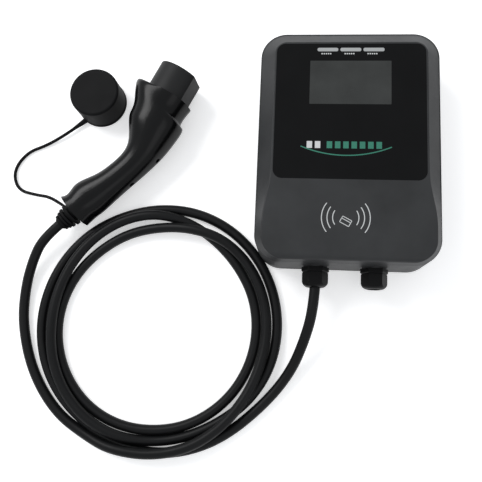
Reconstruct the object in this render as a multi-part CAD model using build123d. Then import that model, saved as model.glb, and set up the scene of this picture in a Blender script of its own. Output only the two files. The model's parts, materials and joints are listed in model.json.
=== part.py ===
from build123d import *
import math
import os

# Wall-mounted charging box with its tethered cable, lying on its back.
# Millimetres. +X to the right, +Y to the top of the box, +Z out of its front.
# The origin is the middle of the back face, which would hang against a wall.

# Housing
body_width = 205.0
body_height = 272.0
body_depth = 80.0
split_height = 57.0
corner_radius = 30.0
shell_wall = 3.0
back_edge_radius = 5.0
overrun = 1.0
skin_gap = 0.1

# Bevelled front of the cover
rim_band = 2.5
bevel_side = 17.0
bevel_top = 20.5
bevel_foot_side = 9.0
bevel_foot = 1.2
face_corner_top = 14.0
face_corner_foot = 24.0
flare_start = 34.0
flare_end = 96.0
foot_roll_radius = 6.5
bevel_edge_radius = 1.2
front_wall = 4.5

# Black front panel and what shows through it
panel_width = 167.0
panel_height = 159.5
panel_thickness = 2.0
panel_corner = 10.0
panel_middle_y = 33.8
window_width = 90.5
window_height = 52.0
window_corner = 0.8
window_middle_y = 66.8
light_width = 23.4
light_height = 4.3
light_pitch = 25.8
light_middle_y = 106.4
light_corner = 1.9

# Display and boards behind the cover
display_width = 105.5
display_height = 66.0
display_depth = 6.0
board_thickness = 1.6
control_width = 140.0
control_height = 92.0
control_middle_y = 70.0
control_boss_radius = 3.6
control_boss_inset = 5.0
pipe_foot_ledge = 1.0
pipe_foot_height = 1.5
reader_width = 62.0
reader_height = 42.0
reader_middle_y = -90.0
reader_coil_width = 5.0
reader_coil_height = 0.4
reader_coil_inset = 3.0

# Rim, gasket and the screws that hold the cover
rim_width = 8.0
rim_height = 6.0
cover_rim_height = 3.5
gasket_inset = 5.2
gasket_width = 2.4
gasket_height = 2.2
column_radius = 7.0
column_inset = 15.2
column_merge = 1.0
screw_hole_radius = 2.2
screw_core_radius = 1.6
screw_head_radius = 3.8
screw_head_height = 2.8
screw_sink_depth = 40.0
screw_bite = 8.0
cover_boss_length = 10.0
socket_radius = 1.5
socket_depth = 1.6

# Threaded brass inserts in the back, for the wall fixing
insert_spacing_x = 100.0
insert_spacing_y = 170.0
insert_radius = 3.6
insert_bore = 2.5
insert_length = 9.0
insert_boss_radius = 6.5
insert_boss_height = 11.0
insert_sink = 0.3

# Main board and what stands on it
main_width = 150.0
main_height = 196.0
main_middle_y = 2.0
main_level = 16.0
post_radius = 4.0
post_inset = 6.0
board_screw_radius = 1.4
board_screw_head = 2.8
board_screw_head_height = 1.8
board_screw_bite = 6.0
control_screw_bite = 4.0
block_width = 88.0
block_depth = 20.0
block_height = 24.0
block_step = 8.0
block_poles = 5
block_screw_radius = 3.0
block_screw_slot = 0.9
block_wire_radius = 3.2
block_middle_y = -80.0
relay_width = 28.0
relay_depth = 36.0
relay_height = 31.0
relay_gap = 6.0
relay_middle_x = -36.0
relay_middle_y = 10.0
relay_chamfer = 1.5
relay_count = 2
sensor_outer_radius = 16.0
sensor_inner_radius = 9.0
sensor_length = 12.0
sensor_middle_x = -36.0
sensor_middle_y = -42.0
supply_width = 46.0
supply_depth = 34.0
supply_height = 24.0
supply_middle_x = 40.0
supply_middle_y = 62.0
stud_radius = 3.0
stud_length = 14.0
stud_nut_flats = 10.0
stud_nut_height = 4.0
stud_place_x = 66.0
stud_place_y = -112.0
stud_boss_radius = 6.0
stud_boss_height = 8.0

# Cable glands in the bottom wall
gland_place_x = 33.0
gland_level = 34.0
cable_diameter = 12.0
thread_radius = 10.0
thread_gap = 0.3
washer_radius = 13.6
washer_thickness = 1.6
collar_flats = 27.0
collar_length = 5.4
inner_thread_length = 12.0
outer_thread_length = 9.5
gland_bore_radius = 7.2
insert_seat_radius = 8.4
insert_seat_depth = 8.5
nut_flats = 25.6
nut_length = 17.0
nut_end_radius = 9.0
nut_dome_length = 6.5
dome_inward_share = 0.3
dome_along_share = 0.62
nut_hole_radius = 7.0
nut_gap = 0.5
locknut_flats = 25.0
locknut_length = 5.0
seal_gap = 0.05
seal_lip_length = 1.2
supply_seal_radius = 6.5
tail_inside = 26.0
edge_ease = 0.8

# Charging connector, measured along its handle from the back end
handle_length = 177.4
head_width = 62.5
head_thickness = 61.0
handle_wall = 3.0
nose_bend_deg = 20.2
section_points = 12
section_power = 2.25
lip_side_share = 0.555
# along-share and side-share of the outer bend, the same of the inner bend, and thickness share
handle_shares = [
    (0.000, -0.355, 0.000, 0.385, 0.705),
    (0.123, -0.355, 0.112, 0.382, 0.700),
    (0.269, -0.349, 0.269, 0.285, 0.625),
    (0.414, -0.342, 0.414, 0.237, 0.590),
    (0.560, -0.334, 0.526, 0.262, 0.630),
    (0.661, -0.314, 0.595, 0.365, 0.710),
    (0.745, -0.278, 0.661, 0.582, 0.820),
    (0.829, -0.222, 0.7195, 0.762, 0.910),
    (0.9295, -0.117, 0.806, 0.915, 0.965),
]
nose_radius = 28.0
nose_flat = 22.6
nose_wall = 3.0
nose_reach = 34.0
nose_inside = 10.0
nose_edge = 0.8
nose_seat_gap = 0.3
carrier_gap = 3.6
carrier_recess = 2.5
contact_circle = 15.0
power_radius = 3.0
power_sleeve = 4.2
signal_radius = 1.5
signal_sleeve = 2.4
sleeve_length = 30.0
handle_screw_radius = 1.7
handle_screw_head = 3.2
handle_screw_head_height = 2.2
handle_screw_length = 16.0
handle_screw_shares = [0.10, 0.42, 0.66]
handle_post_radius = 4.2

# Ribbed strain relief and the tether ring on its neck
boot_length = 24.0
boot_neck_radius = 9.5
boot_flange_radius = 14.0
boot_flange_depth = 5.0
boot_tip_radius = 7.6
boot_rib_width = 2.6
boot_rib_radius = 13.2
boot_rib_step = 1.5
boot_rib_places = [12.2, 16.4, 20.6]
ring_radius = 14.5
ring_thickness = 3.2
ring_place = 6.2
ring_lug_length = 12.0
ring_lug_lean_deg = 17.7
tether_diameter = 4.0
cable_end_inside = 8.0

# Dust cap, lying mouth down
cap_x = -311.0
cap_y = 73.0
cap_radius = 31.0
cap_height = 38.0
cap_wall = 2.3
cap_top = 3.0
cap_edge = 3.0
cap_bead = 0.6
cap_bead_height = 3.0
cap_lug_radius = 3.6
cap_lug_length = 22.0
cap_lug_level = 4.8
cap_lug_place_deg = 233.5
cap_lug_heading_deg = 218.0

# Coil of the cable, one closed ring
coil_x = -219.0
coil_y = -213.0
coil_inner_radius = 112.0
coil_outer_radius = 147.5
coil_height = 24.0
coil_round = 10.5

# Share of a run that an arc at its end takes up
bend_share = 0.45

# Cord routes, chosen by hand
lead_route = [
    (-33.0, -160.5, 34.0),
    (-33.0, -189.0, 34.0),
    (-38.0, -223.0, 22.5),
    (-51.5, -257.0, 9.2),
    (-76.0, -289.0, 6.2),
    (-128.0, -329.0, 6.0),
]
run_route = [
    (-288.0, -338.0, 6.0),
    (-338.0, -313.0, 6.0),
    (-372.0, -262.0, 6.0),
    (-388.5, -210.0, 6.0),
    (-388.0, -168.0, 7.5),
    (-377.5, -136.0, 14.0),
    (-363.5, -110.5, 19.75),
    (-343.6, -92.4, 21.1),
]
tether_middle_route = [
    (-380.0, 14.5, 2.3),
    (-404.5, 5.0, 2.2),
    (-420.5, -20.0, 2.2),
    (-411.0, -46.0, 4.5),
    (-381.0, -54.5, 13.0),
]
tether_first_run = 14.0
tether_last_run = 12.0

half_width = body_width / 2
half_height = body_height / 2


def box_at(width, depth, height, x, y, z):
    """A box centred on x and y that stands on the level z."""
    aligned = (Align.CENTER, Align.CENTER, Align.MIN)
    return Pos(x, y, z) * Box(width, depth, height, align=aligned)


def rod_at(radius, height, x, y, z):
    """A round bar along Z that stands on the level z."""
    aligned = (Align.CENTER, Align.CENTER, Align.MIN)
    return Pos(x, y, z) * Cylinder(radius, height, align=aligned)


def plate_at(width, height, corner, thickness, x, y, z):
    """A flat plate with round corners, its back on the level z."""
    return Pos(x, y, z) * extrude(RectangleRounded(width, height, corner), thickness)


def front_outline(side_top, side_foot, top, foot, corner_top, corner_foot, z):
    """The cover's outline with its lower flanks flared, at the level z."""
    low = -half_height + foot
    high = half_height - top
    wide = half_width - side_foot
    slim = half_width - side_top
    edges = []
    for sign in (1, -1):
        lower = (sign * wide, -flare_end)
        upper = (sign * slim, -flare_start)
        foot_arc_start = (sign * (wide - corner_foot), low)
        foot_arc_end = (sign * wide, low + corner_foot)
        top_arc_start = (sign * slim, high - corner_top)
        top_arc_end = (sign * (slim - corner_top), high)
        middle_foot = (sign * (wide - corner_foot * (1 - math.sqrt(0.5))),
                       low + corner_foot * (1 - math.sqrt(0.5)))
        middle_top = (sign * (slim - corner_top * (1 - math.sqrt(0.5))),
                      high - corner_top * (1 - math.sqrt(0.5)))
        edges.append(Line((0, low), foot_arc_start))
        edges.append(ThreePointArc(foot_arc_start, middle_foot, foot_arc_end))
        edges.append(Line(foot_arc_end, lower))
        edges.append(Spline(lower, upper, tangents=((0, 1), (0, 1))))
        edges.append(Line(upper, top_arc_start))
        edges.append(ThreePointArc(top_arc_start, middle_top, top_arc_end))
        edges.append(Line(top_arc_end, (0, high)))
    return Pos(0, 0, z) * make_face(edges)


def rim_outline(inset, z):
    """The outline of the split between the shells, inset all round."""
    return front_outline(inset, inset, inset, inset,
                         corner_radius - inset, corner_radius - inset, z)


def column_places():
    """The six places of the screws that hold the cover."""
    corner_x = half_width - column_inset
    corner_y = half_height - column_inset
    side_x = half_width - shell_wall - column_radius + column_merge
    places = [(sx * corner_x, sy * corner_y) for sx in (-1, 1) for sy in (-1, 1)]
    return places + [(-side_x, 0), (side_x, 0)]


def insert_places():
    return [(sx * insert_spacing_x / 2, sy * insert_spacing_y / 2) for sx in (-1, 1) for sy in (-1, 1)]


def corner_places(width, height, inset, middle_y):
    """Four corners of a board, inset from its edges."""
    return [(sx * (width / 2 - inset), middle_y + sy * (height / 2 - inset))
            for sx in (-1, 1) for sy in (-1, 1)]


def main_posts():
    return corner_places(main_width, main_height, post_inset, main_middle_y)


def control_posts():
    return corner_places(control_width, control_height, control_boss_inset, control_middle_y)


def control_level():
    """The front of the control board, which the display module stands on."""
    return body_depth - panel_thickness - display_depth


def light_places():
    return [-light_pitch, 0, light_pitch]


def gland_plane(side):
    """A gland's own frame: its origin on the bottom wall, +Z out along the gland."""
    return Plane(origin=(side * gland_place_x, -half_height, gland_level), x_dir=(1, 0, 0), z_dir=(0, -1, 0))


def make_rear_shell():
    outline = RectangleRounded(body_width, body_height, corner_radius)
    shell = extrude(outline, split_height)
    back_edges = shell.edges().group_by(Axis.Z)[0]
    shell = fillet(back_edges, back_edge_radius)
    hollow = RectangleRounded(body_width - 2 * shell_wall, body_height - 2 * shell_wall,
                              corner_radius - shell_wall)
    shell -= Pos(0, 0, shell_wall) * extrude(hollow, split_height)
    rim = outline - RectangleRounded(body_width - 2 * rim_width, body_height - 2 * rim_width,
                                     corner_radius - rim_width)
    shell += Pos(0, 0, split_height - rim_height) * extrude(rim, rim_height)
    for x, y in column_places():
        shell += rod_at(column_radius, split_height - shell_wall, x, y, shell_wall)
    for x, y in insert_places():
        shell += rod_at(insert_boss_radius, insert_boss_height - shell_wall, x, y, shell_wall)
    for x, y in main_posts():
        shell += rod_at(post_radius, main_level - shell_wall, x, y, shell_wall)
    shell += rod_at(stud_boss_radius, stud_boss_height, stud_place_x, stud_place_y, shell_wall)
    groove_out = RectangleRounded(body_width - 2 * gasket_inset + gasket_width,
                                  body_height - 2 * gasket_inset + gasket_width,
                                  corner_radius - gasket_inset + gasket_width / 2)
    groove_in = RectangleRounded(body_width - 2 * gasket_inset - gasket_width,
                                 body_height - 2 * gasket_inset - gasket_width,
                                 corner_radius - gasket_inset - gasket_width / 2)
    groove = Pos(0, 0, split_height - gasket_height) * extrude(groove_out - groove_in, gasket_height + overrun)
    shell -= groove
    for x, y in column_places():
        shell -= rod_at(screw_hole_radius, split_height + 2 * overrun, x, y, -overrun)
        shell -= rod_at(screw_head_radius + thread_gap, screw_sink_depth + overrun, x, y, -overrun)
    for x, y in insert_places():
        shell -= rod_at(insert_radius, insert_length + insert_sink + overrun, x, y, -overrun)
    for x, y in main_posts():
        shell -= rod_at(board_screw_radius, board_screw_bite + overrun, x, y, main_level - board_screw_bite)
    shell -= rod_at(stud_radius, stud_boss_height, stud_place_x, stud_place_y, shell_wall + overrun)
    for side in (-1, 1):
        hole = extrude(Circle(thread_radius + skin_gap), shell_wall + 2 * overrun)
        shell -= gland_plane(side).location * Pos(0, 0, -shell_wall - overrun) * hole
    return shell


def make_cover_gasket():
    outer = RectangleRounded(body_width - 2 * gasket_inset + gasket_width - skin_gap,
                             body_height - 2 * gasket_inset + gasket_width - skin_gap,
                             corner_radius - gasket_inset + gasket_width / 2)
    inner = RectangleRounded(body_width - 2 * gasket_inset - gasket_width + skin_gap,
                             body_height - 2 * gasket_inset - gasket_width + skin_gap,
                             corner_radius - gasket_inset - gasket_width / 2)
    return Pos(0, 0, split_height - gasket_height) * extrude(outer - inner, gasket_height)


def foot_roll():
    """What is cut away to round the front over into the foot of the cover."""
    roll_level = body_depth - foot_roll_radius
    slope_share = (roll_level - split_height - rim_band) / (body_depth - split_height - rim_band)
    foot_y = -half_height + bevel_foot * slope_share
    corner = Pos(foot_y, body_depth) * Rectangle(2 * foot_roll_radius, 2 * foot_roll_radius)
    corner -= Pos(foot_y + foot_roll_radius, roll_level) * Circle(foot_roll_radius)
    return extrude(Plane.YZ * corner, half_width, both=True)


def make_front_cover():
    rim_top = split_height + rim_band
    band = extrude(rim_outline(0, split_height), rim_band)
    face = front_outline(bevel_side, bevel_foot_side, bevel_top, bevel_foot,
                         face_corner_top, face_corner_foot, body_depth)
    crown = loft([rim_outline(0, rim_top), face], ruled=True)
    cover = band + crown
    inner_face = front_outline(bevel_side + shell_wall, bevel_foot_side + shell_wall,
                               bevel_top + shell_wall, bevel_foot + shell_wall,
                               face_corner_top - shell_wall, face_corner_foot - shell_wall,
                               body_depth - front_wall)
    hollow = loft([rim_outline(shell_wall, rim_top), inner_face], ruled=True)
    hollow += extrude(rim_outline(shell_wall, split_height - overrun), rim_band + overrun)
    solid = fillet(cover.edges().group_by(Axis.Z)[-1], bevel_edge_radius) - foot_roll()
    cover = solid - hollow
    rim = extrude(rim_outline(0, split_height) - rim_outline(rim_width, split_height), cover_rim_height)
    cover += rim
    for x, y in column_places():
        cover += rod_at(column_radius, cover_boss_length, x, y, split_height) & solid
    boss_height = body_depth - front_wall - control_level()
    for x, y in control_posts():
        cover += rod_at(control_boss_radius, boss_height + overrun, x, y, control_level())
    for x, y in column_places():
        cover -= rod_at(screw_core_radius, screw_bite + overrun, x, y, split_height - overrun)
    for x, y in control_posts():
        cover -= rod_at(board_screw_radius, control_screw_bite + overrun, x, y, control_level() - overrun)
    cover -= plate_at(panel_width + 2 * skin_gap, panel_height + 2 * skin_gap, panel_corner + skin_gap,
                      panel_thickness + overrun, 0, panel_middle_y, body_depth - panel_thickness)
    cover -= box_at(display_width + 2 * skin_gap, display_height + 2 * skin_gap, front_wall + 2 * overrun,
                    0, window_middle_y, body_depth - front_wall - overrun)
    for x in light_places():
        cover -= plate_at(light_width + 2 * skin_gap, light_height + 2 * skin_gap, light_corner + skin_gap,
                          front_wall + 2 * overrun, x, light_middle_y, body_depth - front_wall - overrun)
    return cover


def make_front_panel():
    level = body_depth - panel_thickness
    panel = plate_at(panel_width, panel_height, panel_corner, panel_thickness, 0, panel_middle_y, level)
    panel -= plate_at(window_width + 2 * skin_gap, window_height + 2 * skin_gap, window_corner,
                      panel_thickness + 2 * overrun, 0, window_middle_y, level - overrun)
    for x in light_places():
        panel -= plate_at(light_width + 2 * skin_gap, light_height + 2 * skin_gap, light_corner + skin_gap,
                          panel_thickness + 2 * overrun, x, light_middle_y, level - overrun)
    return panel


def make_display_window():
    return plate_at(window_width, window_height, window_corner, panel_thickness,
                    0, window_middle_y, body_depth - panel_thickness)


def make_display_module():
    level = body_depth - panel_thickness - display_depth
    module = box_at(display_width, display_height, display_depth, 0, window_middle_y, level)
    return chamfer(module.edges().group_by(Axis.Z)[0], display_depth / 6)


def make_light_pipe(x):
    """A clear bar from the control board to the panel's face, with a foot on the board."""
    height = body_depth - control_level()
    pipe = plate_at(light_width, light_height, light_corner, height, x, light_middle_y, control_level())
    foot = plate_at(light_width + 2 * pipe_foot_ledge, light_height + 2 * pipe_foot_ledge,
                    light_corner + pipe_foot_ledge, pipe_foot_height, x, light_middle_y, control_level())
    return pipe + foot


def make_control_board():
    level = control_level() - board_thickness
    board = box_at(control_width, control_height, board_thickness, 0, control_middle_y, level)
    for x, y in control_posts():
        board -= rod_at(board_screw_radius + skin_gap, board_thickness + 2 * overrun, x, y, level - overrun)
    return board


def make_control_screws():
    screws = []
    for x, y in control_posts():
        head_level = control_level() - board_thickness - board_screw_head_height
        head = rod_at(board_screw_head, board_screw_head_height, x, y, head_level)
        head -= rod_at(board_screw_radius, board_screw_head_height / 2, x, y, head_level)
        shank = rod_at(board_screw_radius, control_screw_bite + board_thickness,
                       x, y, control_level() - board_thickness)
        screws.append(head + shank)
    return Compound(children=screws)


def make_reader_board():
    """The card reader's antenna, flat against the inside of the cover."""
    level = body_depth - front_wall - board_thickness
    board = box_at(reader_width, reader_height, board_thickness, 0, reader_middle_y, level)
    wide = reader_width - 2 * reader_coil_inset
    tall = reader_height - 2 * reader_coil_inset
    coil = box_at(wide, tall, reader_coil_height, 0, reader_middle_y, level - reader_coil_height)
    coil -= box_at(wide - 2 * reader_coil_width, tall - 2 * reader_coil_width, reader_coil_height + 2 * overrun,
                   0, reader_middle_y, level - reader_coil_height - overrun)
    return board + coil


def make_main_board():
    board = box_at(main_width, main_height, board_thickness, 0, main_middle_y, main_level)
    for x, y in main_posts():
        board -= rod_at(board_screw_radius + skin_gap, board_thickness + 2 * overrun, x, y, main_level - overrun)
    return board


def make_main_board_screws():
    screws = []
    top = main_level + board_thickness
    for x, y in main_posts():
        head = rod_at(board_screw_head, board_screw_head_height, x, y, top)
        head -= rod_at(board_screw_radius, board_screw_head_height, x, y, top + board_screw_head_height / 2)
        shank = rod_at(board_screw_radius, board_screw_bite + board_thickness, x, y, main_level - board_screw_bite)
        screws.append(head + shank)
    return Compound(children=screws)


def block_places():
    pitch = block_width / block_poles
    return [(n - (block_poles - 1) / 2) * pitch for n in range(block_poles)]


def make_terminal_block():
    """A stepped block: wires enter low at its foot side, screws stand on the step."""
    level = main_level + board_thickness
    block = box_at(block_width, block_depth, block_height, 0, block_middle_y, level)
    step = block_depth / 2
    block -= box_at(block_width + 2 * overrun, step + overrun, block_step + overrun,
                    0, block_middle_y - block_depth / 2 + step / 2 - overrun / 2, level + block_height - block_step)
    screw_y = block_middle_y - block_depth / 2 + step / 2
    for x in block_places():
        block -= rod_at(block_screw_radius + skin_gap, block_step + overrun, x, screw_y,
                        level + block_height - 2 * block_step)
        wire = Plane(origin=(x, block_middle_y - block_depth / 2 - overrun, level + block_step / 2),
                     x_dir=(1, 0, 0), z_dir=(0, 1, 0))
        block -= wire.location * Cylinder(block_wire_radius, step + overrun,
                                          align=(Align.CENTER, Align.CENTER, Align.MIN))
    return block


def make_terminal_screws():
    screws = []
    level = main_level + board_thickness + block_height - 2 * block_step
    screw_y = block_middle_y - block_depth / 4
    for x in block_places():
        screw = rod_at(block_screw_radius, block_step * 3 / 4, x, screw_y, level)
        screw -= box_at(2 * block_screw_radius + 2 * overrun, block_screw_slot, block_screw_slot + overrun,
                        x, screw_y, level + block_step * 3 / 4 - block_screw_slot)
        screws.append(screw)
    return Compound(children=screws)


def make_relay(number):
    x = relay_middle_x + number * (relay_width + relay_gap)
    relay = box_at(relay_width, relay_depth, relay_height, x, relay_middle_y, main_level + board_thickness)
    return chamfer(relay.edges().group_by(Axis.Z)[-1], relay_chamfer)


def make_current_sensor():
    """The ring that compares the currents of the wires through it."""
    middle = main_level + board_thickness + sensor_outer_radius
    ring = Circle(sensor_outer_radius) - Circle(sensor_inner_radius)
    base = Pos(0, -sensor_outer_radius * 3 / 4) * Rectangle(2 * sensor_outer_radius, sensor_outer_radius / 2)
    profile = ring + (base - Circle(sensor_inner_radius))
    frame = Plane(origin=(sensor_middle_x, sensor_middle_y + sensor_length / 2, middle),
                  x_dir=(1, 0, 0), z_dir=(0, -1, 0))
    return frame.location * extrude(profile, sensor_length)


def make_supply_module():
    level = main_level + board_thickness
    module = box_at(supply_width, supply_depth, supply_height, supply_middle_x, supply_middle_y, level)
    return chamfer(module.edges().group_by(Axis.Z)[-1], relay_chamfer)


def make_earth_stud():
    level = shell_wall + overrun
    stud = rod_at(stud_radius, stud_length, stud_place_x, stud_place_y, level)
    nut = extrude(RegularPolygon(stud_nut_flats / 2, 6, major_radius=False), stud_nut_height)
    return stud + Pos(stud_place_x, stud_place_y, shell_wall + stud_boss_height) * nut


def make_wall_inserts():
    inserts = []
    for x, y in insert_places():
        insert = rod_at(insert_radius, insert_length, x, y, insert_sink)
        insert -= rod_at(insert_bore, insert_length + 2 * overrun, x, y, insert_sink - overrun)
        inserts.append(insert)
    return Compound(children=inserts)


def make_cover_screws():
    screws = []
    for x, y in column_places():
        head_level = screw_sink_depth - screw_head_height
        head = rod_at(screw_head_radius, screw_head_height, x, y, head_level)
        head -= rod_at(socket_radius, socket_depth, x, y, head_level)
        shank = rod_at(screw_core_radius, split_height + screw_bite - screw_sink_depth, x, y, screw_sink_depth)
        screws.append(head + shank)
    return Compound(children=screws)


def hexagon(flats):
    return RegularPolygon(flats / 2, 6, major_radius=False)


def ring_solid(outer, inner, low, high):
    """A plain ring about the local Z axis, from the level low to the level high."""
    return Pos(0, 0, low) * extrude(Circle(outer) - Circle(inner), high - low)


def nut_start():
    return washer_thickness + collar_length + nut_gap


def thread_end():
    return washer_thickness + collar_length + outer_thread_length


def make_gland_washer():
    return ring_solid(washer_radius, thread_radius + skin_gap, 0, washer_thickness)


def make_gland_body():
    body = Pos(0, 0, -inner_thread_length) * extrude(Circle(thread_radius), inner_thread_length + thread_end())
    collar = extrude(hexagon(collar_flats), collar_length)
    collar = chamfer(collar.edges().group_by(Axis.Z)[-1], edge_ease)
    body += Pos(0, 0, washer_thickness) * collar
    body -= Pos(0, 0, -inner_thread_length - overrun) * extrude(
        Circle(gland_bore_radius), inner_thread_length + thread_end() + 2 * overrun)
    body -= Pos(0, 0, thread_end() - insert_seat_depth) * extrude(
        Circle(insert_seat_radius), insert_seat_depth + overrun)
    return body


def make_gland_locknut():
    nut = extrude(hexagon(locknut_flats) - Circle(thread_radius + skin_gap), locknut_length)
    return Pos(0, 0, -shell_wall - locknut_length) * nut


def seal_low():
    return thread_end() - insert_seat_depth


def seal_high():
    return thread_end() + edge_ease


def seal_outer_end():
    return seal_high() + nut_gap + seal_lip_length


def make_gland_seal(bore_radius):
    """The sealing insert, with a lip at each end that centres it in the body and in the nut."""
    seal = ring_solid(insert_seat_radius - seal_gap, bore_radius, seal_low(), seal_high())
    seal += ring_solid(gland_bore_radius - seal_gap, bore_radius, seal_low() - seal_lip_length, seal_low())
    return seal + ring_solid(nut_hole_radius - seal_gap, bore_radius, seal_high(), seal_outer_end())


def make_gland_nut():
    """The domed compression nut: a hexagon turned down to a round end."""
    corner = nut_flats / math.sqrt(3)
    dome_start = nut_length - nut_dome_length
    middle = (corner - (corner - nut_end_radius) * dome_inward_share,
              dome_start + nut_dome_length * dome_along_share)
    profile = make_face([
        Line((0, 0), (corner - edge_ease, 0)),
        Line((corner - edge_ease, 0), (corner, edge_ease)),
        Line((corner, edge_ease), (corner, dome_start)),
        ThreePointArc((corner, dome_start), middle, (nut_end_radius, nut_length)),
        Line((nut_end_radius, nut_length), (0, nut_length)),
        Line((0, nut_length), (0, 0)),
    ])
    turned = revolve(Plane.XZ * profile, Axis.Z)
    nut = extrude(hexagon(nut_flats), nut_length) & turned
    inside = seal_high() + nut_gap - nut_start()
    nut -= Pos(0, 0, -overrun) * extrude(Circle(thread_radius + thread_gap), inside + overrun)
    nut -= Pos(0, 0, -overrun) * extrude(Circle(nut_hole_radius), nut_length + 2 * overrun)
    return Pos(0, 0, nut_start()) * nut


def make_gland_cable():
    """The stretch of cable held inside the gland."""
    length = tail_inside + nut_start() + nut_length
    return Pos(0, 0, -tail_inside) * extrude(Circle(cable_diameter / 2), length)


def handle_sections(inset):
    """Sections through the handle: middle, half width, half thickness and side direction."""
    sections = []
    for out_along, out_side, in_along, in_side, thickness_share in handle_shares:
        outer = Vector(boot_length + out_along * handle_length, out_side * head_width)
        inner = Vector(boot_length + in_along * handle_length, in_side * head_width)
        sections.append((outer, inner, thickness_share * head_thickness))
    turn = math.radians(nose_bend_deg)
    side = Vector(math.sin(turn), -math.cos(turn)) * (head_width / 2)
    sections.append((lip_middle() + side, lip_middle() - side, head_thickness))
    return [((o + i) * 0.5, (o - i).length / 2 - inset, t / 2 - inset, (o - i).normalized())
            for o, i, t in sections]


def lip_middle():
    return Vector(boot_length + handle_length, lip_side_share * head_width)


def section_face(section):
    """A rounded, slightly square section set across the handle."""
    middle, wide, thick, side = section
    frame = Plane(origin=middle, x_dir=side, z_dir=Vector(-side.Y, side.X))
    points = []
    for n in range(section_points):
        angle = 2 * math.pi * n / section_points
        c, s = math.cos(angle), math.sin(angle)
        reach = (abs(c) ** section_power + abs(s) ** section_power) ** (-1 / section_power)
        points.append((wide * reach * c, thick * reach * s))
    return frame * make_face(Spline(*points, periodic=True))


def handle_loft(inset):
    return loft([section_face(section) for section in handle_sections(inset)])


def half_space(outer_side):
    """The space on one side of the handle's middle surface."""
    middles = [section[0] for section in handle_sections(0)]
    turn = math.radians(nose_bend_deg)
    ahead = Vector(math.cos(turn), math.sin(turn)) * head_width
    start = middles[0] - Vector(head_width, 0)
    far = Vector(0, -2 * head_width if outer_side else 3 * head_width)
    seam = Spline(*middles, tangents=(Vector(1, 0), ahead))
    finish = middles[-1] + ahead
    edges = [Line(start, middles[0]), seam, Line(middles[-1], finish), Line(finish, finish + far),
             Line(finish + far, start + far), Line(start + far, start)]
    return Pos(0, 0, -head_thickness) * extrude(make_face(edges), 2 * head_thickness)


def screw_middles():
    """Where each handle screw crosses the seam, by linear steps between the sections."""
    middles = [section[0] for section in handle_sections(0)]
    places = []
    for share in handle_screw_shares:
        x = boot_length + share * handle_length
        for a, b in zip(middles, middles[1:]):
            if a.X <= x <= b.X:
                places.append((x, a.Y + (b.Y - a.Y) * (x - a.X) / (b.X - a.X)))
    return places


def across_handle(radius, length, x, y):
    """A round bar across the handle that starts at y and runs to the inner bend."""
    frame = Plane(origin=(x, y, 0), x_dir=(1, 0, 0), z_dir=(0, 1, 0))
    return frame.location * Cylinder(radius, length, align=(Align.CENTER, Align.CENTER, Align.MIN))


def make_handle_halves():
    """The two moulded halves of the connector's handle, cut where they lie."""
    outer = place_plug(handle_loft(0))
    hollow = handle_loft(handle_wall)
    hollow -= Pos(boot_length, 0, 0) * Box(2 * handle_wall, 2 * head_width, 2 * head_thickness)
    for x, y in screw_middles():
        hollow -= across_handle(handle_post_radius, 2 * head_width, x, y - head_width)
    hollow = place_plug(hollow)
    neck = Plane(origin=(boot_length - overrun, 0, 0), z_dir=(1, 0, 0)).location
    neck_hole = neck * extrude(Circle(boot_neck_radius + skin_gap), handle_wall + 2 * overrun)
    halves = []
    for outer_side in (True, False):
        half = outer & place_plug(half_space(outer_side))
        half -= place_plug(neck_hole)
        for x, y in screw_middles():
            seat = y - handle_screw_length / 2
            half -= place_plug(across_handle(handle_screw_radius, handle_screw_length, x, seat))
            half -= place_plug(across_handle(handle_screw_head, head_width, x, seat - head_width))
        halves.append(half - hollow)
    return halves


def make_handle_screws():
    screws = []
    for x, y in screw_middles():
        seat = y - handle_screw_length / 2
        head = across_handle(handle_screw_head - skin_gap, handle_screw_head_height,
                             x, seat - handle_screw_head_height)
        head -= across_handle(socket_radius, socket_depth, x, seat - handle_screw_head_height)
        screws.append(head + across_handle(handle_screw_radius, handle_screw_length, x, seat))
    return Compound(children=screws)


def nose_plane():
    """The nose's own frame: origin in the middle of the lip, +Z out, +X to the flat."""
    turn = math.radians(nose_bend_deg)
    return Plane(origin=lip_middle(), x_dir=(math.sin(turn), -math.cos(turn), 0),
                 z_dir=(math.cos(turn), math.sin(turn), 0))


def flatted(radius, flat):
    """A circle with one flat, at the distance flat from its middle."""
    return Circle(radius) & Pos(flat - radius, 0) * Rectangle(2 * radius, 2 * radius)


def make_connector_nose():
    inside_radius = nose_radius - nose_wall
    nose = extrude(flatted(nose_radius, nose_flat), nose_reach)
    nose = fillet(nose.edges().group_by(Axis.Z)[-1], nose_edge)
    seat = head_thickness / 2 - handle_wall - nose_seat_gap
    nose += Pos(0, 0, -nose_wall) * extrude(Circle(seat), nose_wall)
    nose += Pos(0, 0, -nose_inside) * extrude(Circle(inside_radius + nose_wall / 4), nose_inside)
    nose -= Pos(0, 0, -nose_inside - overrun) * extrude(
        flatted(inside_radius - nose_wall / 2, nose_flat - nose_wall), nose_inside + nose_reach + 2 * overrun)
    nose -= extrude(flatted(inside_radius, nose_flat - nose_wall), nose_reach + overrun)
    return nose_plane().location * nose


def power_places():
    step = contact_circle * math.sqrt(3) / 2
    return [(0, contact_circle), (0, -contact_circle), (-step, contact_circle / 2), (-step, -contact_circle / 2)]


def signal_places():
    step = contact_circle * math.sqrt(3) / 2
    return [(step, contact_circle / 2), (step, -contact_circle / 2)]


def sleeve_low():
    return nose_reach - carrier_recess - overrun - sleeve_length


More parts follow.
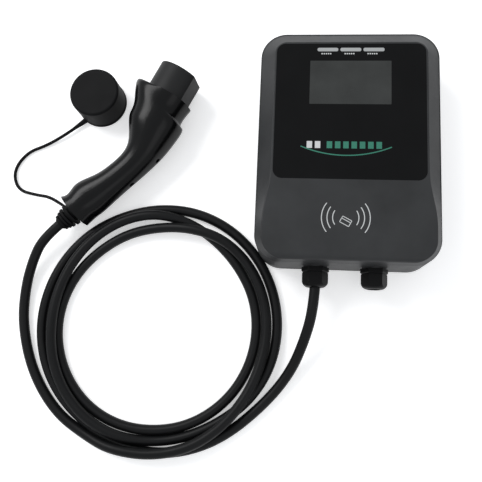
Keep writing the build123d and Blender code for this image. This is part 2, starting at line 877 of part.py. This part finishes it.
def make_contact_carrier():
    seat_radius = nose_radius - nose_wall - nose_wall / 2 - skin_gap
    radius = nose_radius - nose_wall - carrier_gap
    seat_flat = nose_flat - nose_wall - skin_gap
    front = nose_reach - carrier_recess
    carrier = extrude(flatted(radius, nose_flat - nose_wall - carrier_gap), front)
    carrier = chamfer(carrier.edges().group_by(Axis.Z)[-1], edge_ease)
    carrier += Pos(0, 0, -nose_inside) * extrude(flatted(seat_radius, seat_flat), nose_inside)
    for places, sleeve in ((power_places() + [(0, 0)], power_sleeve), (signal_places(), signal_sleeve)):
        for x, y in places:
            carrier -= Pos(x, y, sleeve_low()) * extrude(Circle(sleeve), sleeve_length + 2 * overrun)
    return nose_plane().location * carrier


def make_sleeves(places, outer, inner):
    sleeves = []
    for x, y in places:
        sleeve = Pos(x, y, 0) * ring_solid(outer, inner, sleeve_low(), sleeve_low() + sleeve_length)
        sleeves.append(nose_plane().location * sleeve)
    return sleeves[0] if len(sleeves) == 1 else Compound(children=sleeves)


def along_handle(outer, inner, low, high):
    """A ring about the handle's back axis, from low to high."""
    frame = Plane(origin=(0, 0, 0), z_dir=(1, 0, 0))
    return frame.location * ring_solid(outer, inner, low, high)


def make_cable_boot():
    """The ribbed strain relief, its flange held behind the handle's back wall."""
    bore = cable_diameter / 2 + seal_gap
    points = [(boot_tip_radius, 0)]
    for number, place in reversed(list(enumerate(boot_rib_places))):
        middle = boot_length - place
        rib = boot_rib_radius - number * boot_rib_step
        slope = (boot_neck_radius - boot_tip_radius) / boot_length
        low = middle - boot_rib_width / 2
        high = middle + boot_rib_width / 2
        points += [(boot_tip_radius + slope * low, low), (rib, low), (rib, high),
                   (boot_tip_radius + slope * high, high)]
    flange_low = boot_length + handle_wall
    points += [(boot_neck_radius, boot_length), (boot_neck_radius, flange_low),
               (boot_flange_radius, flange_low), (boot_flange_radius, flange_low + boot_flange_depth),
               (bore, flange_low + boot_flange_depth), (bore, 0)]
    profile = make_face(Polyline(*points, close=True))
    boot = revolve(Plane.XZ * profile, Axis.Z)
    return Plane(origin=(0, 0, 0), z_dir=(1, 0, 0)).location * boot


def make_cable_end():
    """The end of the cable inside the strain relief."""
    length = boot_length + handle_wall + cable_end_inside
    return Plane(origin=(0, 0, 0), z_dir=(1, 0, 0)).location * extrude(Circle(cable_diameter / 2), length)


def ring_lug_plane():
    """The stub on the tether ring: its origin on the ring, +Z along the stub."""
    lean = math.radians(ring_lug_lean_deg)
    return Plane(origin=(boot_length - ring_place, ring_radius - overrun, 0), x_dir=(0, 0, 1),
                 z_dir=(-math.sin(lean), math.cos(lean), 0))


def cap_lug_plane():
    """The lug on the dust cap: its origin inside the cap's wall, +Z along the lug."""
    place = Vector(cap_radius - cap_wall, 0, 0).rotate(Axis.Z, cap_lug_place_deg)
    return Plane(origin=place + Vector(cap_x, cap_y, cap_lug_level), x_dir=(0, 0, 1),
                 z_dir=Vector(1, 0, 0).rotate(Axis.Z, cap_lug_heading_deg))


def tether_route():
    """From the end of the cap's lug to the end of the ring's stub, straight out of both."""
    cap_end = [(cap_lug_plane().location * Pos(0, 0, along)).position
               for along in (cap_lug_length, cap_lug_length + tether_first_run)]
    ring_end = [(plug_location() * ring_lug_plane().location * Pos(0, 0, along)).position
                for along in (ring_lug_length + tether_last_run, ring_lug_length)]
    return cap_end + [Vector(*place) for place in tether_middle_route] + ring_end


def make_tether_ring():
    """The loose ring on the neck, with the stub that the tether grows from."""
    middle = boot_length - ring_place
    ring = along_handle(ring_radius, boot_neck_radius + thread_gap, middle - ring_thickness / 2,
                        middle + ring_thickness / 2)
    stub = Cone(ring_thickness / 2, tether_diameter / 2, ring_lug_length,
                align=(Align.CENTER, Align.CENTER, Align.MIN))
    return ring + ring_lug_plane().location * stub


def make_dust_cap():
    cap = extrude(Circle(cap_radius), cap_height)
    cap = fillet(cap.edges().group_by(Axis.Z)[-1], cap_edge)
    cap += extrude(Circle(cap_radius + cap_bead), cap_bead_height)
    cap = Pos(cap_x, cap_y, 0) * cap
    cap += cap_lug_plane().location * Cone(cap_lug_radius, tether_diameter / 2, cap_lug_length,
                                           align=(Align.CENTER, Align.CENTER, Align.MIN))
    hollow = Pos(0, 0, -overrun) * extrude(Circle(cap_radius - cap_wall), cap_height - cap_top + overrun)
    return cap - Pos(cap_x, cap_y, 0) * hollow


def make_cable_coil():
    """The outer shape of the coiled turns, as one closed ring."""
    width = coil_outer_radius - coil_inner_radius
    middle = (coil_outer_radius + coil_inner_radius) / 2
    section = Plane.XZ * Pos(middle, coil_height / 2) * RectangleRounded(width, coil_height, coil_round)
    return Pos(coil_x, coil_y, 0) * revolve(section, Axis.Z)


def make_cord(name, route, diameter):
    """A round cord along straight runs joined by tangent arcs as large as the runs allow."""
    points = [Vector(place) for place in route]
    radii = []
    for before, here, after in zip(points, points[1:], points[2:]):
        turn = math.radians((here - before).get_angle(after - here))
        shorter = min((here - before).length, (after - here).length)
        radii.append(bend_share * shorter / math.tan(turn / 2))
    path = FilletPolyline(*points, radius=radii)
    section = Plane(origin=path @ 0, z_dir=path % 0) * Circle(diameter / 2)
    cord = sweep(section, path=path)
    print(name, "radii", [round(radius, 1) for radius in radii], "length", round(path.length, 1),
          "volume", round(cord.volume, 1), "section by length",
          round(math.pi * (diameter / 2) ** 2 * path.length, 1))
    return cord


def plug_location():
    """Where the connector lies: at the end of the cable's run, in line with its last stretch."""
    end = Vector(*run_route[-1])
    ahead = end - Vector(*run_route[-2])
    heading = math.degrees(math.atan2(ahead.Y, ahead.X))
    lean = math.degrees(math.asin(ahead.Z / ahead.length))
    return Pos(end) * Rot(0, 0, heading) * Rot(0, -lean, 0)


def place_plug(piece):
    return plug_location() * piece


def build_nodes():
    nodes = {
        "rear_shell": make_rear_shell(),
        "front_cover": make_front_cover(),
        "cover_gasket": make_cover_gasket(),
        "front_panel": make_front_panel(),
        "display_window": make_display_window(),
        "display_module": make_display_module(),
        "control_board": make_control_board(),
        "control_board_screws": make_control_screws(),
        "reader_antenna": make_reader_board(),
        "main_board": make_main_board(),
        "main_board_screws": make_main_board_screws(),
        "terminal_block": make_terminal_block(),
        "terminal_screws": make_terminal_screws(),
        "current_sensor": make_current_sensor(),
        "supply_module": make_supply_module(),
        "earth_stud": make_earth_stud(),
        "wall_inserts": make_wall_inserts(),
        "cover_screws": make_cover_screws(),
    }
    for number, x in enumerate(light_places()):
        nodes[f"light_pipe_{number + 1}"] = make_light_pipe(x)
    for number in range(relay_count):
        nodes[f"power_relay_{number + 1}"] = make_relay(number)
    for name, side, bore in (("output", -1, cable_diameter / 2 + seal_gap), ("supply", 1, supply_seal_radius)):
        place = gland_plane(side).location
        nodes[f"{name}_gland_washer"] = place * make_gland_washer()
        nodes[f"{name}_gland_body"] = place * make_gland_body()
        nodes[f"{name}_gland_locknut"] = place * make_gland_locknut()
        nodes[f"{name}_gland_seal"] = place * make_gland_seal(bore)
        nodes[f"{name}_gland_nut"] = place * make_gland_nut()
    nodes["cable_in_gland"] = gland_plane(-1).location * make_gland_cable()
    outer_half, inner_half = make_handle_halves()
    nodes["handle_outer_half"] = outer_half
    nodes["handle_inner_half"] = inner_half
    nodes["handle_screws"] = place_plug(make_handle_screws())
    nodes["connector_nose"] = place_plug(make_connector_nose())
    nodes["contact_carrier"] = place_plug(make_contact_carrier())
    nodes["earth_contact"] = place_plug(make_sleeves([(0, 0)], power_sleeve, power_radius))
    nodes["power_contacts"] = place_plug(make_sleeves(power_places(), power_sleeve, power_radius))
    nodes["signal_contacts"] = place_plug(make_sleeves(signal_places(), signal_sleeve, signal_radius))
    nodes["cable_boot"] = place_plug(make_cable_boot())
    nodes["cable_in_boot"] = place_plug(make_cable_end())
    nodes["tether_ring"] = place_plug(make_tether_ring())
    nodes["dust_cap"] = make_dust_cap()
    nodes["cable_coil"] = make_cable_coil()
    nodes["cable_lead"] = make_cord("cable_lead", lead_route, cable_diameter)
    nodes["cable_run"] = make_cord("cable_run", run_route, cable_diameter)
    nodes["tether_cord"] = make_cord("tether_cord", tether_route(), tether_diameter)
    return nodes


os.makedirs("parts", exist_ok=True)
for node_name, node in build_nodes().items():
    export_step(node, f"parts/{node_name}.step")
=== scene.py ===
import json
import math

import bpy
from mathutils import Matrix, Vector
from mathutils.bvhtree import BVHTree


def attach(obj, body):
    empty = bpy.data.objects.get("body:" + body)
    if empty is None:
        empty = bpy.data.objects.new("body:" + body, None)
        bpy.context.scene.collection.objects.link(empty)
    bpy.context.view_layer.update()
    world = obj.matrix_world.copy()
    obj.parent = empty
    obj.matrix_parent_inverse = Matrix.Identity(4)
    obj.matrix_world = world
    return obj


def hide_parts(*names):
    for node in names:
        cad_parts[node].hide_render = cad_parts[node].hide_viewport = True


# The charging box lies on its back on a pale floor, seen from above and from its foot.
# The frame is that of the solids: +X right, +Y to the top of the box, +Z out of its front.
# The scene is in metres. Routes, cord diameters and printed marks are in millimetres, times MM.

MM = 0.001
ROOT = "wallbox"

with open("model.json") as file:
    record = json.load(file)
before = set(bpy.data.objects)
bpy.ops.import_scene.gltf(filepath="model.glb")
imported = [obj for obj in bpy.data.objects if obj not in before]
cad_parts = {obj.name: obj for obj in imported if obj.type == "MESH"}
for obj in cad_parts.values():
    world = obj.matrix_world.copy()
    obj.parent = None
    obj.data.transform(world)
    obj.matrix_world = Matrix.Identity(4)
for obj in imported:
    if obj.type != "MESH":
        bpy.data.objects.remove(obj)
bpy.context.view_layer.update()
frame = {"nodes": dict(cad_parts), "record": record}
nodes = frame["nodes"]


def place_in_scene(name, data):
    """A new object of the scene around a mesh, curve, camera or light."""
    piece = bpy.data.objects.new(name, data)
    bpy.context.scene.collection.objects.link(piece)
    return piece


# ---------------------------------------------------------------- camera
image_side = 482
focal_pixels = 600.0
sensor_width = 36.0
nearest_seen = 0.01
farthest_seen = 20.0
camera_place = Vector((-53.9012, -234.62505, 717.00443)) * MM
camera_turns = {"X": -0.18062, "Y": -0.09556, "Z": -0.0459}

turn = {axis: Matrix.Rotation(angle, 3, axis) for axis, angle in camera_turns.items()}
to_camera = turn["Z"] @ turn["X"] @ turn["Y"]
camera_data = bpy.data.cameras.new("camera")
camera_data.sensor_width = sensor_width
camera_data.lens = focal_pixels / image_side * sensor_width
camera_data.clip_start = nearest_seen
camera_data.clip_end = farthest_seen
camera = place_in_scene("camera", camera_data)
camera.matrix_world = Matrix.Translation(camera_place) @ to_camera.transposed().to_4x4()
bpy.context.scene.camera = camera
bpy.context.scene.view_settings.view_transform = "Standard"


# ---------------------------------------------------------------- materials
tint_scale, tint_detail = 22.0, 3.0
tint_low, tint_high = 0.3, 0.7
wear_scale, wear_detail = 60.0, 5.0
least_roughness = 0.02
even_roughness = 0.55
grain_detail, grain_roughness, grain_depth = 2.0, 0.5, 0.0002
streak_scale, streak_detail, streak_roughness = 900.0, 6.0, 0.7
streak_smooth_share, streak_rough_share = 0.7, 1.4
streak_bump, streak_depth = 0.05, 0.0001


def shader(name):
    """A new material, its node tree and its main shader."""
    material = bpy.data.materials.new(name)
    material.use_nodes = True
    tree = material.node_tree
    return material, tree, tree.nodes["Principled BSDF"]


def link(tree, source, socket, target, slot):
    tree.links.new(source.outputs[socket], target.inputs[slot])


def noise(tree, scale, detail, roughness=even_roughness):
    coordinates = tree.nodes.new("ShaderNodeTexCoord")
    texture = tree.nodes.new("ShaderNodeTexNoise")
    texture.inputs["Scale"].default_value = scale
    texture.inputs["Detail"].default_value = detail
    texture.inputs["Roughness"].default_value = roughness
    link(tree, coordinates, "Object", texture, "Vector")
    return texture


def vary_roughness(tree, main, texture, low, high):
    sheen = tree.nodes.new("ShaderNodeMapRange")
    sheen.inputs["To Min"].default_value = low
    sheen.inputs["To Max"].default_value = high
    link(tree, texture, "Fac", sheen, "Value")
    link(tree, sheen, "Result", main, "Roughness")


def raise_bumps(tree, main, texture, strength, depth):
    lift = tree.nodes.new("ShaderNodeBump")
    lift.inputs["Strength"].default_value = strength
    lift.inputs["Distance"].default_value = depth
    link(tree, texture, "Fac", lift, "Height")
    link(tree, lift, "Normal", main, "Normal")


def moulded(name, colour, roughness, grain=2600.0, bump=0.12, spread=0.18, wander=0.06, gloss=0.5):
    """Moulded plastic or rubber: fine grain in the bump, slow change in colour and sheen."""
    material, tree, main = shader(name)
    main.inputs["Specular IOR Level"].default_value = gloss

    slow = noise(tree, tint_scale, tint_detail)
    tint = tree.nodes.new("ShaderNodeValToRGB")
    darker, lighter = tint.color_ramp.elements
    darker.position, lighter.position = tint_low, tint_high
    darker.color = [value * (1 - spread) for value in colour] + [1]
    lighter.color = [value * (1 + spread) for value in colour] + [1]
    link(tree, slow, "Fac", tint, "Fac")
    link(tree, tint, "Color", main, "Base Color")

    worn = noise(tree, wear_scale, wear_detail)
    smoothest = max(least_roughness, roughness - wander)
    roughest = min(1.0, roughness + wander)
    vary_roughness(tree, main, worn, smoothest, roughest)
    raise_bumps(tree, main, noise(tree, grain, grain_detail, grain_roughness), bump, grain_depth)
    return material


def metal(name, colour, roughness):
    """Turned or plated metal with fine streaks in its sheen."""
    material, tree, main = shader(name)
    main.inputs["Metallic"].default_value = 1.0
    main.inputs["Base Color"].default_value = (*colour, 1)
    streaks = noise(tree, streak_scale, streak_detail, streak_roughness)
    vary_roughness(tree, main, streaks, roughness * streak_smooth_share, roughness * streak_rough_share)
    raise_bumps(tree, main, streaks, streak_bump, streak_depth)
    return material


# The low gloss of the blacks was fitted to the photo's tones.
looks = {
    "housing": moulded("housing", (0.025, 0.026, 0.027), 0.48, grain=3200.0, bump=0.16, gloss=0.2),
    "seal_rubber": moulded("seal_rubber", (0.014, 0.014, 0.015), 0.72),
    "panel": moulded("panel", (0.0030, 0.0031, 0.0033), 0.20, grain=400.0, bump=0.01, wander=0.03,
                     gloss=0.09),
    "lens": moulded("lens", (0.036, 0.038, 0.037), 0.28, grain=400.0, bump=0.01, wander=0.03, gloss=0.12),
    "display": moulded("display", (0.020, 0.020, 0.022), 0.5),
    "light": moulded("light", (0.33, 0.34, 0.34), 0.35, grain=900.0, bump=0.05, spread=0.05),
    "board": moulded("board", (0.010, 0.070, 0.030), 0.35, grain=500.0, bump=0.1),
    "part_black": moulded("part_black", (0.012, 0.012, 0.013), 0.45),
    "block": moulded("block", (0.20, 0.21, 0.22), 0.5),
    "screw_steel": metal("screw_steel", (0.58, 0.58, 0.59), 0.32),
    "brass": metal("brass", (0.66, 0.50, 0.21), 0.28),
    "gland": moulded("gland", (0.0035, 0.0035, 0.0037), 0.36, grain=1800.0, bump=0.1, gloss=0.09),
    "cable": moulded("cable", (0.0045, 0.0047, 0.005), 0.42, grain=1500.0, bump=0.12, gloss=0.13),
    "handle": moulded("handle", (0.0022, 0.0023, 0.0025), 0.22, grain=1400.0, bump=0.04, gloss=0.14),
    "nose": moulded("nose", (0.0125, 0.0127, 0.013), 0.50, grain=2400.0, bump=0.15, gloss=0.14),
    "contact": metal("contact", (0.72, 0.70, 0.66), 0.22),
    "soft_black": moulded("soft_black", (0.0050, 0.0051, 0.0054), 0.58, grain=1600.0, bump=0.14, gloss=0.07),
    "print_white": moulded("print_white", (0.52, 0.53, 0.53), 0.5, grain=900.0, bump=0.03, spread=0.06),
    "print_green": moulded("print_green", (0.012, 0.150, 0.095), 0.5, grain=900.0, bump=0.03, spread=0.10),
}

for part in frame["record"]["subparts"]:
    mesh = nodes[part["node"]].data
    mesh.materials.clear()
    mesh.materials.append(looks[part["material_slot"]])


# ---------------------------------------------------------------- cords
cord_steps = 8


def smooth_cord(name, points, diameter, look):
    """One smooth open spline through its control points, with a round section."""
    curve = bpy.data.curves.new(name, "CURVE")
    curve.dimensions = "3D"
    curve.bevel_depth = diameter / 2 * MM
    curve.bevel_resolution = cord_steps
    curve.use_fill_caps = True
    curve.resolution_u = cord_steps
    spline = curve.splines.new("NURBS")
    spline.points.add(len(points) - 1)
    for point, place in zip(spline.points, points):
        point.co = (*[value * MM for value in place], 1.0)
    spline.order_u = 3
    spline.use_endpoint_u = True
    spline.use_smooth = True
    curve.materials.append(looks[look])
    return place_in_scene(name, curve)


cable_diameter = 12.0
coil_middle = (-219.0, -213.0)
coil_start_deg = -52.0
points_per_turn = 20

lead_route = [
    (-33.0, -160.5, 34.0),
    (-34.5, -187.0, 34.0),
    (-43.0, -220.0, 23.0),
    (-57.5, -256.0, 9.5),
    (-85.0, -292.0, 6.2),
]
run_route = [
    (-290.0, -341.0, 7.5),
    (-332.0, -316.0, 6.2),
    (-366.0, -270.0, 6.2),
    (-384.0, -215.0, 6.2),
    (-385.0, -170.0, 7.2),
    (-376.0, -135.5, 14.0),
    (-363.5, -110.5, 19.75),
    (-343.6, -92.4, 21.1),
]
# Turns since the lower right, clockwise; distance from the middle of the coil; height of the strand.
# Traced on the photo, then moved in part, to close gaps that the photo doesn't show.
# The first turn is the outer one. The second lies on the third at the left, comes down at the upper right
# and is the inner one at the right. The third is the inner one up to there, crosses over the second,
# and ends as the outermost strand.
coil_strand = [
    (0.00, 146.5, 6.2), (0.05, 143.5, 6.2), (0.10, 141.3, 6.2), (0.15, 138.0, 6.2), (0.19, 134.0, 6.2),
    (0.23, 135.6, 6.2), (0.27, 137.4, 6.2), (0.31, 139.2, 6.2), (0.36, 141.0, 6.2), (0.44, 142.6, 6.2),
    (0.50, 143.4, 6.2), (0.56, 143.2, 6.2), (0.61, 145.2, 6.2), (0.66, 147.2, 6.2), (0.73, 147.0, 6.2),
    (0.81, 145.4, 6.2), (0.86, 144.0, 6.2), (0.92, 140.9, 6.2), (1.00, 130.8, 6.2), (1.05, 128.6, 6.2),
    (1.10, 128.3, 6.2), (1.15, 129.0, 14.2), (1.19, 128.5, 17.0), (1.23, 128.0, 15.5), (1.30, 125.5, 17.4),
    (1.36, 123.5, 18.0), (1.42, 127.0, 15.2), (1.50, 134.0, 13.8), (1.56, 137.0, 16.5), (1.61, 137.3, 15.4),
    (1.65, 131.5, 8.0), (1.69, 126.0, 6.2), (1.73, 121.8, 6.2), (1.77, 121.0, 6.2), (1.81, 121.0, 6.2),
    (1.86, 119.6, 6.2), (1.92, 118.6, 6.2), (2.00, 117.3, 6.2), (2.10, 116.4, 6.2), (2.19, 118.8, 6.2),
    (2.36, 120.7, 6.2), (2.50, 118.2, 6.2), (2.61, 120.6, 12.0), (2.65, 124.5, 17.8), (2.69, 130.5, 18.4),
    (2.73, 133.3, 14.0), (2.77, 133.2, 12.0), (2.81, 133.0, 12.0), (2.86, 131.8, 12.0), (2.92, 130.6, 15.4),
    (3.00, 136.0, 18.0), (3.05, 140.0, 18.0), (3.10, 141.1, 18.3), (3.15, 142.8, 17.4),
]


def strand_at(turns):
    """Distance from the middle and height, between two rows of the table."""
    for (start, near, low), (end, far, high) in zip(coil_strand, coil_strand[1:]):
        if turns <= end:
            share = (turns - start) / (end - start)
            return near + (far - near) * share, low + (high - low) * share
    return coil_strand[-1][1:]


def on_circle(middle, radius, angle):
    return middle[0] + radius * math.cos(angle), middle[1] + radius * math.sin(angle)


# A spline of order 3 runs inside its points; on a round coil it runs at this share of their distance.
inside_share = 0.75 + 0.25 * math.cos(2 * math.pi / points_per_turn)
coil_route = []
for step in range(round(coil_strand[-1][0] * points_per_turn) + 1):
    turns = step / points_per_turn
    away, level = strand_at(turns)
    angle = math.radians(coil_start_deg) - 2 * math.pi * turns
    coil_route.append((*on_circle(coil_middle, away / inside_share, angle), level))

cable = smooth_cord("charging_cable", lead_route + coil_route + run_route, cable_diameter, "cable")
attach(cable, ROOT)
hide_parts("cable_lead", "cable_coil", "cable_run")

tether_diameter = 4.0
tether_route = [
    (-349.92, -64.45, 21.81),
    (-360.31, -58.44, 21.63),
    (-381.0, -54.5, 13.0),
    (-411.0, -46.0, 4.5),
    (-420.5, -20.0, 2.3),
    (-404.5, 5.0, 2.2),
    (-380.0, 14.5, 2.3),
    (-356.44, 27.77, 4.8),
    (-345.41, 36.38, 4.8),
]
tether = smooth_cord("cap_tether", tether_route, tether_diameter, "soft_black")
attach(tether, ROOT)
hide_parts("tether_cord")


# ---------------------------------------------------------------- marks printed on the front
ray_start = 0.2
print_height = 0.05
print_sink = 0.1
section_corners = 4


def front_surface(node):
    """The faces of a node, to be met by rays from the front."""
    mesh = nodes[node].data
    place = nodes[node].matrix_world
    corners = [place @ vertex.co for vertex in mesh.vertices]
    return BVHTree.FromPolygons(corners, [tuple(face.vertices) for face in mesh.polygons])


def printed(name, node, strips, look):
    """Thin closed strips that follow a surface: each one is a line of x, y in millimetres and its width."""
    surface = front_surface(node)
    corners = []
    faces = []
    for line, width in strips:
        first = len(corners)
        for step, (x, y) in enumerate(line):
            before = line[max(step - 1, 0)]
            after = line[min(step + 1, len(line) - 1)]
            along = Vector((after[0] - before[0], after[1] - before[1])).normalized()
            side = Vector((-along.y, along.x)) * width / 2
            for sign in (1, -1):
                spot = Vector((x + sign * side.x, y + sign * side.y)) * MM
                level = surface.ray_cast(Vector((*spot, ray_start)), Vector((0, 0, -1)))[0].z
                corners.append((*spot, level + print_height * MM))
                corners.append((*spot, level - print_sink * MM))
            if step:
                now = first + section_corners * step
                old = now - section_corners
                faces += [(old, old + 2, now + 2, now), (old + 1, now + 1, now + 3, old + 3),
                          (old, now, now + 1, old + 1), (old + 2, old + 3, now + 3, now + 2)]
        last = len(corners) - section_corners
        faces += [(first, first + 1, first + 3, first + 2), (last, last + 2, last + 3, last + 1)]
    mesh = bpy.data.meshes.new(name)
    mesh.from_pydata(corners, [], faces)
    mesh.materials.append(looks[look])
    piece = place_in_scene(name, mesh)
    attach(piece, ROOT)


def block(x, y, wide, high):
    """A small upright block, from its lower left corner."""
    return [(x + wide / 2, y), (x + wide / 2, y + high)], wide


def arc(middle, radius, from_deg, to_deg, width, steps=16):
    """Points along an arc, and the width of the strip along it."""
    angles = [math.radians(from_deg + (to_deg - from_deg) * step / steps) for step in range(steps + 1)]
    return [on_circle(middle, radius, angle) for angle in angles], width


label_middles = (-27.4, -1.5, 24.1)
label_blocks = (-4.8, -2.4, 0.0, 2.4, 4.8)
label_y, label_wide, label_high = 100.6, 1.5, 1.5
label_strips = [block(middle + shift - label_wide / 2, label_y, label_wide, label_high)
                for middle in label_middles for shift in label_blocks]

mark_y, mark_wide, mark_high, mark_pitch = -11.0, 6.0, 8.0, 9.0
white_start, white_count = -47.0, 2
green_start, green_count = -25.0, 7
bow_middle, bow_radius, bow_width, bow_steps = (-4.0, 108.0), 127.0, 1.3, 32
bow_from_deg, bow_to_deg = 247.0, 293.0


def mark_row(start, count):
    return [block(start + mark_pitch * step, mark_y, mark_wide, mark_high) for step in range(count)]


white_marks = mark_row(white_start, white_count)
green_marks = mark_row(green_start, green_count)
green_marks.append(arc(bow_middle, bow_radius, bow_from_deg, bow_to_deg, bow_width, bow_steps))
printed("marks_white", "front_panel", label_strips + white_marks, "print_white")
printed("marks_green", "front_panel", green_marks, "print_green")

wave_middle = (-3.1, -89.0)
wave_radii = (14.0, 20.0, 26.0)
wave_half_deg = (34.0, 36.0, 38.0)
wave_width = 1.0
waves = []
for radius, half in zip(wave_radii, wave_half_deg):
    waves.append(arc(wave_middle, radius, -half, half, wave_width))
    waves.append(arc(wave_middle, radius, 180.0 - half, 180.0 + half, wave_width))
card_turn = math.radians(-28.0)
card_half = (5.5, 3.6)
card_middle = (-3.1, -93.0)
card_line_width = 0.8
card_stripe_share = 0.3


def card_spot(x, y):
    return (card_middle[0] + x * math.cos(card_turn) - y * math.sin(card_turn),
            card_middle[1] + x * math.sin(card_turn) + y * math.cos(card_turn))


wide, high = card_half
stripe = high * card_stripe_share
card_lines = [
    ((-wide, high), (wide, high)),
    ((-wide, -high), (wide, -high)),
    ((-wide, -high), (-wide, high)),
    ((wide, -high), (wide, high)),
    ((-wide, stripe), (wide, stripe)),
]
for start, end in card_lines:
    waves.append(([card_spot(*start), card_spot(*end)], card_line_width))
printed("marks_reader", "front_cover", waves, "print_white")


# ---------------------------------------------------------------- floor and light
floor_reach = 6.0
floor_level = -0.0004
floor_grey = 0.93
floor_roughness = 0.9
floor_lift_strength = 0.42
sky_colour = (0.95, 0.97, 1.0, 1)
sky_light = 0.66

floor_mesh = bpy.data.meshes.new("floor")
floor_corners = [(side * floor_reach, end * floor_reach, floor_level)
                 for side, end in ((-1, -1), (1, -1), (1, 1), (-1, 1))]
floor_mesh.from_pydata(floor_corners, [], [(0, 1, 2, 3)])
floor = place_in_scene("floor", floor_mesh)
floor_look, floor_tree, floor_shader = shader("floor")
floor_shader.inputs["Base Color"].default_value = (floor_grey, floor_grey, floor_grey, 1)
floor_shader.inputs["Roughness"].default_value = floor_roughness


def background_seen(tree):
    """The node and socket that give 1 to camera, glossy and transmission rays, and 0 to the rest."""
    path = tree.nodes.new("ShaderNodeLightPath")
    source, socket = path, "Is Camera Ray"
    for ray in ("Is Glossy Ray", "Is Transmission Ray"):
        either = tree.nodes.new("ShaderNodeMath")
        either.operation = "MAXIMUM"
        link(tree, source, socket, either, 0)
        link(tree, path, ray, either, 1)
        source, socket = either, "Value"
    return source, socket


# The floor is lifted where it is seen, so that it is white where no shadow lies.
source, socket = background_seen(floor_tree)
floor_lift = floor_tree.nodes.new("ShaderNodeMath")
floor_lift.operation = "MULTIPLY"
floor_lift.inputs[1].default_value = floor_lift_strength
link(floor_tree, source, socket, floor_lift, 0)
link(floor_tree, floor_lift, "Value", floor_shader, "Emission Strength")
floor_shader.inputs["Emission Color"].default_value = (1, 1, 1, 1)
floor_mesh.materials.append(floor_look)

# The sky has strength 1 where it is seen and less where it lights.
world = bpy.data.worlds.new("world")
bpy.context.scene.world = world
world.use_nodes = True
sky_tree = world.node_tree
sky = sky_tree.nodes["Background"]
sky.inputs["Color"].default_value = sky_colour
source, socket = background_seen(sky_tree)
sky_strength = sky_tree.nodes.new("ShaderNodeMapRange")
sky_strength.inputs["To Min"].default_value = sky_light
sky_strength.inputs["To Max"].default_value = 1.0
link(sky_tree, source, socket, sky_strength, "Value")
link(sky_tree, sky_strength, "Result", sky, "Strength")


def softbox(name, place, target, size, watts):
    data = bpy.data.lights.new(name, "AREA")
    data.shape = "RECTANGLE"
    data.size, data.size_y = size
    data.energy = watts
    lamp = place_in_scene(name, data)
    lamp.location = place
    lamp.rotation_euler = (Vector(target) - Vector(place)).to_track_quat("-Z", "Y").to_euler()


box_centre = (-0.10, -0.05, 0.03)
softbox("key", (-1.15, 0.75, 1.4), box_centre, (1.0, 0.7), 20.0)
softbox("fill", (0.7, -0.9, 1.7), box_centre, (1.0, 1.0), 3.0)
